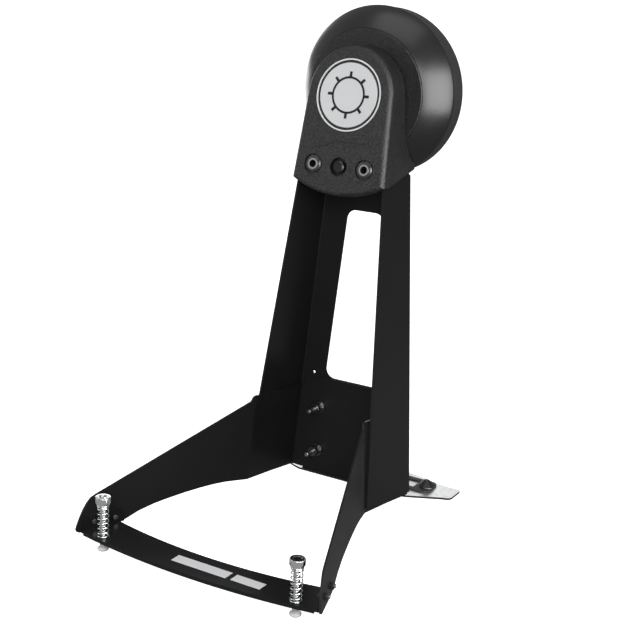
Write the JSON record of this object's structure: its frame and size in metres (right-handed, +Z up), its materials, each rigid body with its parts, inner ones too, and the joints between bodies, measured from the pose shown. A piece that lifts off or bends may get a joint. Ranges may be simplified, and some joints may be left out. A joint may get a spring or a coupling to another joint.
{
  "type": "practice pad",
  "caption": "Free-standing kick practice pad: round rubber pad on a tapered sheet-steel tower with window, splayed base, spring spur bolts, pedal plate and control cover with jacks.",
  "frame": {"origin": "centre of the footprint box, on the floor", "axes": "+Z up the tower, +Y towards the player and the strike face, -Y towards the control cover and spur bolts, +X across the base"},
  "size_m": [0.2338, 0.3096, 0.4346],
  "materials": {
    "painted_steel": "semi-gloss black powder coat",
    "zinc_plate": "bare zinc plated sheet",
    "black_rubber": "matte black rubber",
    "black_moulding": "black moulding",
    "cover_plastic": "fine textured dark moulding",
    "bowl_plastic": "smooth satin dark moulding",
    "inner_plastic": "plain moulding",
    "chrome_steel": "bright plated",
    "foot_plastic": "pale moulded tip",
    "zinc_fastener": "zinc plated",
    "dark_fastener": "dark plated",
    "label_foil": "satin foil",
    "white_ring": "white ring",
    "emblem_black": "printed black",
    "jack_body": "black socket body",
    "circuit_green": "solder mask",
    "soft_foam": "dense foam",
    "sensor_steel": "plain sheet",
    "sensor_brass": "thin disc",
    "lead_red": "insulated wire"
  },
  "bodies": {
    "stand": {"tower_channel": "painted_steel", "base_bracket": "painted_steel", "front_plate": "painted_steel", "pedal_plate": "zinc_plate", "pedal_guide": "black_rubber", "bracket_bolt_lower_left": "zinc_fastener", "bracket_bolt_lower_right": "zinc_fastener", "bracket_bolt_upper_left": "zinc_fastener", "bracket_bolt_upper_right": "zinc_fastener", "flange_nut_lower_left": "dark_fastener", "flange_nut_lower_right": "dark_fastener", "flange_nut_upper_left": "dark_fastener", "flange_nut_upper_right": "dark_fastener", "tab_screw_rear_left": "zinc_fastener", "tab_screw_front_left": "zinc_fastener", "tab_screw_rear_right": "zinc_fastener", "tab_screw_front_right": "zinc_fastener", "tab_nut_rear_left": "dark_fastener", "tab_nut_front_left": "dark_fastener", "tab_nut_rear_right": "dark_fastener", "tab_nut_front_right": "dark_fastener", "label_wide": "label_foil", "label_narrow": "label_foil", "spur_spring_left": "chrome_steel", "spur_spring_right": "chrome_steel", "front_cover": "cover_plastic", "badge_disc": "label_foil", "badge_ring": "white_ring", "badge_emblem": "emblem_black", "jack_left": "chrome_steel", "jack_right": "chrome_steel", "jack_nut_left": "chrome_steel", "jack_nut_right": "chrome_steel", "level_pot": "jack_body", "circuit_board": "circuit_green", "ring_plate": "cover_plastic", "bowl_shell": "bowl_plastic", "pad_base": "inner_plastic", "isolation_ring": "soft_foam", "sensor_plate": "sensor_steel", "piezo_disc": "sensor_brass", "foam_layer": "soft_foam", "strike_head": "black_rubber", "sensor_lead": "lead_red", "head_screw_1": "zinc_fastener", "head_screw_2": "zinc_fastener", "head_screw_3": "zinc_fastener", "head_screw_4": "zinc_fastener"},
    "spur_lift_left": {"spur_washer_left": "chrome_steel"},
    "spur_turn_left": {"spur_bolt_left": "chrome_steel", "spur_foot_left": "foot_plastic"},
    "spur_lift_right": {"spur_washer_right": "chrome_steel"},
    "spur_turn_right": {"spur_bolt_right": "chrome_steel", "spur_foot_right": "foot_plastic"},
    "knob_lift_left": {"knob_washer_left": "dark_fastener"},
    "knob_turn_left": {"pedal_knob_left": "black_moulding"},
    "knob_lift_right": {"knob_washer_right": "dark_fastener"},
    "knob_turn_right": {"pedal_knob_right": "black_moulding"},
    "level_control": {"level_knob": "black_moulding"}
  },
  "joints": [
    {"name": "spur_lift_left_slide", "type": "slide", "parent": "stand", "child": "spur_lift_left", "axis": [0, 0, 1], "range_m": [-0.008, 0.005], "deforming": ["spur_spring_left"]},
    {"name": "spur_turn_left", "type": "hinge", "parent": "spur_lift_left", "child": "spur_turn_left", "pos_m": [-0.092, -0.14125, 0.03], "axis": [0, 0, 1], "range_deg": [-2890, 1810]},
    {"name": "knob_lift_left_slide", "type": "slide", "parent": "stand", "child": "knob_lift_left", "axis": [0, 0, 1], "range_m": [0, 0.003]},
    {"name": "knob_turn_left", "type": "hinge", "parent": "knob_lift_left", "child": "knob_turn_left", "pos_m": [-0.067, 0.12985, 0.008], "axis": [0, 0, 1], "range_deg": [-5, 1085]},
    {"name": "spur_lift_right_slide", "type": "slide", "parent": "stand", "child": "spur_lift_right", "axis": [0, 0, 1], "range_m": [-0.008, 0.005], "deforming": ["spur_spring_right"]},
    {"name": "spur_turn_right", "type": "hinge", "parent": "spur_lift_right", "child": "spur_turn_right", "pos_m": [0.092, -0.14125, 0.03], "axis": [0, 0, 1], "range_deg": [-2890, 1810]},
    {"name": "knob_lift_right_slide", "type": "slide", "parent": "stand", "child": "knob_lift_right", "axis": [0, 0, 1], "range_m": [0, 0.003]},
    {"name": "knob_turn_right", "type": "hinge", "parent": "knob_lift_right", "child": "knob_turn_right", "pos_m": [0.067, 0.12985, 0.008], "axis": [0, 0, 1], "range_deg": [-5, 1085]},
    {"name": "level_turn", "type": "hinge", "parent": "stand", "child": "level_control", "pos_m": [0, 0.05297, 0.30244], "axis": [0, -0.9827, 0.185], "range_deg": [-150, 150]}
  ],
  "couplings": [
    {"joint": "spur_turn_left", "follows": "spur_lift_left_slide", "rad_per_m": 6283.2},
    {"joint": "knob_turn_left", "follows": "knob_lift_left_slide", "rad_per_m": 6283.2},
    {"joint": "spur_turn_right", "follows": "spur_lift_right_slide", "rad_per_m": 6283.2},
    {"joint": "knob_turn_right", "follows": "knob_lift_right_slide", "rad_per_m": 6283.2}
  ]
}
